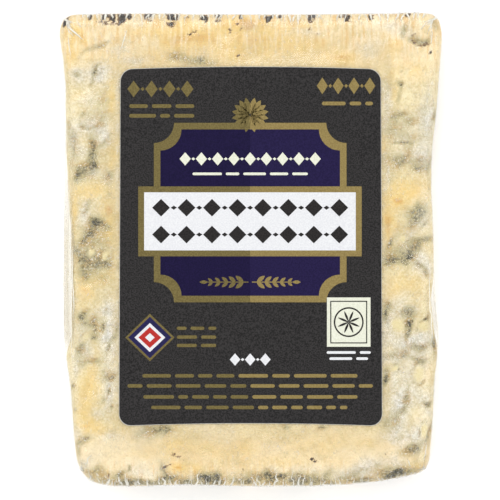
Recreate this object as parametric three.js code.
// A flat portion of blue-veined cheese, shrunk into clear film, with a printed paper label on its face.
// Millimetres. It lies on its back: +X is the label's right, +Y the label's top, +Z up out of the label.
// The origin is the middle of the footprint, on the surface that it lies on.
// Two solids: the cheese in its skin-tight film, and the label stuck on the film.
import * as THREE from "three";

// The wrapped portion. Its thickness gives 150 g of cheese at 1.07 g per cubic centimetre.
const RIM_THICKNESS = 15.55;
const DOME = 0.75;
const FACE_FILLET = 2.7;
const BACK_FILLET = 2.1;

// Seen from above, anticlockwise from the top right corner. The sides are a little hollow, the corner at the
// lower right is cut blunt, the one at the lower left is the roundest, and the upper left one is folded flat.
const OUTLINE = [
  [41.7, 53.5],
  [29.6, 53.7],
  [2.4, 53.5],
  [-27.2, 53.7],
  [-36.3, 53.5],
  [-41.3, 53.2],
  [-42.9, 51.6],
  [-43.3, 49.1],
  [-42.4, 43.0],
  [-41.9, 31.7],
  [-42.0, 18.1],
  [-42.2, -2.4],
  [-42.1, -21.7],
  [-40.9, -31.9],
  [-40.0, -43.8],
  [-39.0, -49.5],
  [-36.7, -52.3],
  [-33.1, -53.5],
  [-15.8, -53.6],
  [2.4, -53.8],
  [22.8, -53.3],
  [34.6, -51.8],
  [40.4, -49.9],
  [41.4, -43.3],
  [42.1, -30.8],
  [42.7, -20.6],
  [42.0, -9.2],
  [41.8, 6.7],
  [41.6, 20.3],
  [42.3, 29.5],
  [42.9, 39.6],
  [43.4, 49.7],
  [42.8, 52.4],
];

// Relief of the crumbly curd under the film: a broad sag, and crags. The shifts keep the two patterns apart.
const SAG = { depth: 0.45, pitch: 18, shift: 4 };
const CRAGS = { depth: 0.7, pitch: 6.2, shift: 9 };
// The face is smooth under the label. Its relief grows to its full depth between these distances from it.
const RELIEF_STARTS = 0.5;
const RELIEF_FULL = 4;
// The side walls' dents fade towards both edges, down to their strength at this share of the wall's height.
const WALL_FADE = 0.12;

// The label. It is a little wider at its foot, and both its ends bow towards the top.
const LABEL_HEIGHT = 80.7;
const LABEL_TOP_WIDTH = 59.1;
const LABEL_FOOT_WIDTH = 59.7;
const LABEL_CORNER = 2.7;
const LABEL_BOW = 0.6;
const LABEL_CENTRE = new THREE.Vector2(0.2, 0.55);
const LABEL_THICKNESS = 0.25;
const LABEL_GAP = 0.12;

// The portion is made of rings of points. Those of its back and face are shares of the outline's size.
const PORTION_STEPS = 180;
const BACK_RINGS = [0.92, 0.945, 0.968, 0.987, 0.997];
const WALL_RINGS = 7;
const FACE_RINGS = [0.997, 0.988, 0.972, 0.952, 0.93, 0.905, 0.875, 0.845, 0.815, 0.785, 0.75, 0.6, 0.4, 0.2];

// The label's rings, and its points along each side and round each corner.
const LABEL_RINGS = [0.2, 0.4, 0.6, 0.8, 1];
const LABEL_SIDE_STEPS = 12;
const LABEL_CORNER_STEPS = 5;

// Waves that turn a grid corner's place into a number with no pattern that shows.
const GRID_WAVE = new THREE.Vector3(127.1, 311.7, 74.7);
const WAVE_GAIN = 43758.5453;

// A number from 0 to 1 that belongs to one corner of an endless grid.
function cornerValue(corner) {
  const wave = Math.sin(corner.dot(GRID_WAVE)) * WAVE_GAIN;
  return wave - Math.floor(wave);
}

// Smooth noise from -1 to 1 at a point, with humps about one unit across.
function noise(point) {
  const base = point.clone().floor();
  const share = point.clone().sub(base).toArray().map((v) => THREE.MathUtils.smoothstep(v, 0, 1));
  let sum = 0;
  for (let corner = 0; corner < 8; corner++) {
    const step = [corner & 1, (corner >> 1) & 1, (corner >> 2) & 1];
    const weight = step.reduce((w, s, i) => w * (s ? share[i] : 1 - share[i]), 1);
    sum += weight * cornerValue(base.clone().add(new THREE.Vector3(...step)));
  }
  return 2 * sum - 1;
}

// How far the surface stands out at a point, in millimetres: mostly shallow pits.
function relief(x, y, z) {
  const place = new THREE.Vector3(x, y, z);
  const pattern = ({ pitch, shift }) => noise(place.clone().divideScalar(pitch).addScalar(shift));
  return SAG.depth * pattern(SAG) - CRAGS.depth * Math.max(0, pattern(CRAGS)) ** 1.5;
}

// The outline as points, moved so that the middle of its box is the origin.
function outlinePoints() {
  const corners = OUTLINE.map(([x, y]) => new THREE.Vector3(x, y, 0));
  const points = new THREE.CatmullRomCurve3(corners, true, "centripetal").getSpacedPoints(PORTION_STEPS);
  const middle = new THREE.Box3().setFromPoints(points).getCenter(new THREE.Vector3());
  return points.slice(0, -1).map((p) => p.sub(middle));
}
const outline = outlinePoints();
const halfSize = new THREE.Box3().setFromPoints(outline).max;

// The distance from a point inside the outline to the outline.
function depthInside(x, y) {
  const segment = new THREE.Line3();
  const nearest = new THREE.Vector3();
  const point = new THREE.Vector3(x, y, 0);
  return Math.min(
    ...outline.map((from, i) => {
      segment.set(from, outline[(i + 1) % outline.length]);
      return segment.closestPointToPoint(point, true, nearest).distanceTo(point);
    }),
  );
}

// The distance from a point to the label's rectangle, 0 under the label.
function distanceFromLabel(x, y) {
  const over = new THREE.Vector2(
    Math.max(0, Math.abs(x - LABEL_CENTRE.x) - LABEL_FOOT_WIDTH / 2),
    Math.max(0, Math.abs(y - LABEL_CENTRE.y) - LABEL_HEIGHT / 2 - LABEL_BOW),
  );
  return over.length();
}

// The height of the face: a low dome, smooth under the label and craggy round it.
function faceHeight(x, y) {
  const dome = DOME * (1 - (x / halfSize.x) ** 2) * (1 - (y / halfSize.y) ** 2);
  const bare = THREE.MathUtils.smoothstep(distanceFromLabel(x, y), RELIEF_STARTS, RELIEF_FULL);
  return RIM_THICKNESS + dome + bare * relief(x, y, RIM_THICKNESS);
}

// How far a quarter-round edge of a radius has fallen at a distance inside its rim.
function filletDrop(radius, inside) {
  const run = Math.max(0, radius - inside);
  return radius - Math.sqrt(radius * radius - run * run);
}

// A closed solid from rings of points that all have the same count, with a middle point at each end.
// The rings run from the lower middle out and up to the upper middle, each anticlockwise from above.
function solidOfRings(lowMiddle, rings, highMiddle) {
  const count = rings[0].length;
  const points = [lowMiddle, ...rings.flat(), highMiddle];
  const faces = [];
  const at = (ring, i) => 1 + ring * count + (i % count);
  for (let i = 0; i < count; i++) {
    faces.push(0, at(0, i + 1), at(0, i));
    for (let ring = 0; ring + 1 < rings.length; ring++) {
      faces.push(at(ring, i), at(ring, i + 1), at(ring + 1, i + 1));
      faces.push(at(ring, i), at(ring + 1, i + 1), at(ring + 1, i));
    }
    faces.push(at(rings.length - 1, i), at(rings.length - 1, i + 1), points.length - 1);
  }
  const geometry = new THREE.BufferGeometry().setFromPoints(points);
  geometry.setIndex(faces);
  geometry.computeVertexNormals();
  return geometry;
}

// A ring of the back or the face: the outline shrunk by a scale, each point at the height that rise gives.
function flatRing(scale, rise) {
  return outline.map((p) => {
    const x = p.x * scale;
    const y = p.y * scale;
    return new THREE.Vector3(x, y, rise(x, y));
  });
}

// A ring of the side walls at a share of their height, dented by the relief.
function wallRing(share) {
  const z = THREE.MathUtils.lerp(BACK_FILLET, RIM_THICKNESS - FACE_FILLET, share);
  const fade = Math.sin(Math.PI * THREE.MathUtils.clamp(share, WALL_FADE, 1 - WALL_FADE));
  return outline.map((p) => {
    const dent = Math.min(0, relief(p.x, p.y, z)) * fade;
    const scale = 1 + dent / p.length();
    return new THREE.Vector3(p.x * scale, p.y * scale, z);
  });
}

function wrappedPortion() {
  const backHeight = (x, y) => filletDrop(BACK_FILLET, depthInside(x, y));
  const faceToEdge = (x, y) => faceHeight(x, y) - filletDrop(FACE_FILLET, depthInside(x, y));
  const rings = [
    ...BACK_RINGS.map((scale) => flatRing(scale, backHeight)),
    ...Array.from({ length: WALL_RINGS }, (_, i) => wallRing(i / (WALL_RINGS - 1))),
    ...FACE_RINGS.map((scale) => flatRing(scale, faceToEdge)),
  ];
  return solidOfRings(new THREE.Vector3(0, 0, 0), rings, new THREE.Vector3(0, 0, faceHeight(0, 0)));
}

// The label's outline round its own middle, anticlockwise: a rectangle with round corners, bowed to the top.
function labelOutline() {
  const quarter = Math.PI / 2;
  const upper = LABEL_HEIGHT / 2 - LABEL_CORNER;
  const topSide = LABEL_TOP_WIDTH / 2 - LABEL_CORNER;
  const footSide = LABEL_FOOT_WIDTH / 2 - LABEL_CORNER;
  const shape = new THREE.Shape();
  shape.absarc(topSide, upper, LABEL_CORNER, 0, quarter);
  shape.absarc(-topSide, upper, LABEL_CORNER, quarter, 2 * quarter);
  shape.absarc(-footSide, -upper, LABEL_CORNER, 2 * quarter, 3 * quarter);
  shape.absarc(footSide, -upper, LABEL_CORNER, 3 * quarter, 4 * quarter);
  shape.closePath();
  const points = shape.curves.flatMap((curve) => {
    const steps = curve.isLineCurve ? LABEL_SIDE_STEPS : LABEL_CORNER_STEPS;
    return curve.getSpacedPoints(steps).slice(0, -1);
  });
  const bow = (x) => LABEL_BOW * (1 - (2 * x / LABEL_FOOT_WIDTH) ** 2);
  return points.map((p) => new THREE.Vector2(p.x, p.y + bow(p.x)));
}

function label() {
  const edge = labelOutline();
  const above = (x, y, lift) => new THREE.Vector3(x, y, faceHeight(x, y) + LABEL_GAP + lift);
  const ring = (scale, lift) =>
    edge.map((p) => above(LABEL_CENTRE.x + p.x * scale, LABEL_CENTRE.y + p.y * scale, lift));
  const rings = [
    ...LABEL_RINGS.map((scale) => ring(scale, 0)),
    ...LABEL_RINGS.toReversed().map((scale) => ring(scale, LABEL_THICKNESS)),
  ];
  const { x, y } = LABEL_CENTRE;
  return solidOfRings(above(x, y, 0), rings, above(x, y, LABEL_THICKNESS));
}

const cheeseInFilm = new THREE.MeshStandardMaterial({ color: 0xecd7a3, roughness: 0.35, metalness: 0 });
const printedPaper = new THREE.MeshStandardMaterial({ color: 0x353434, roughness: 0.6, metalness: 0 });

function named(name, geometry, material) {
  const mesh = new THREE.Mesh(geometry, material);
  mesh.name = name;
  return mesh;
}

const pack = new THREE.Group();
pack.add(named("wrapped_cheese", wrappedPortion(), cheeseInFilm));
pack.add(named("label", label(), printedPaper));

export default pack;
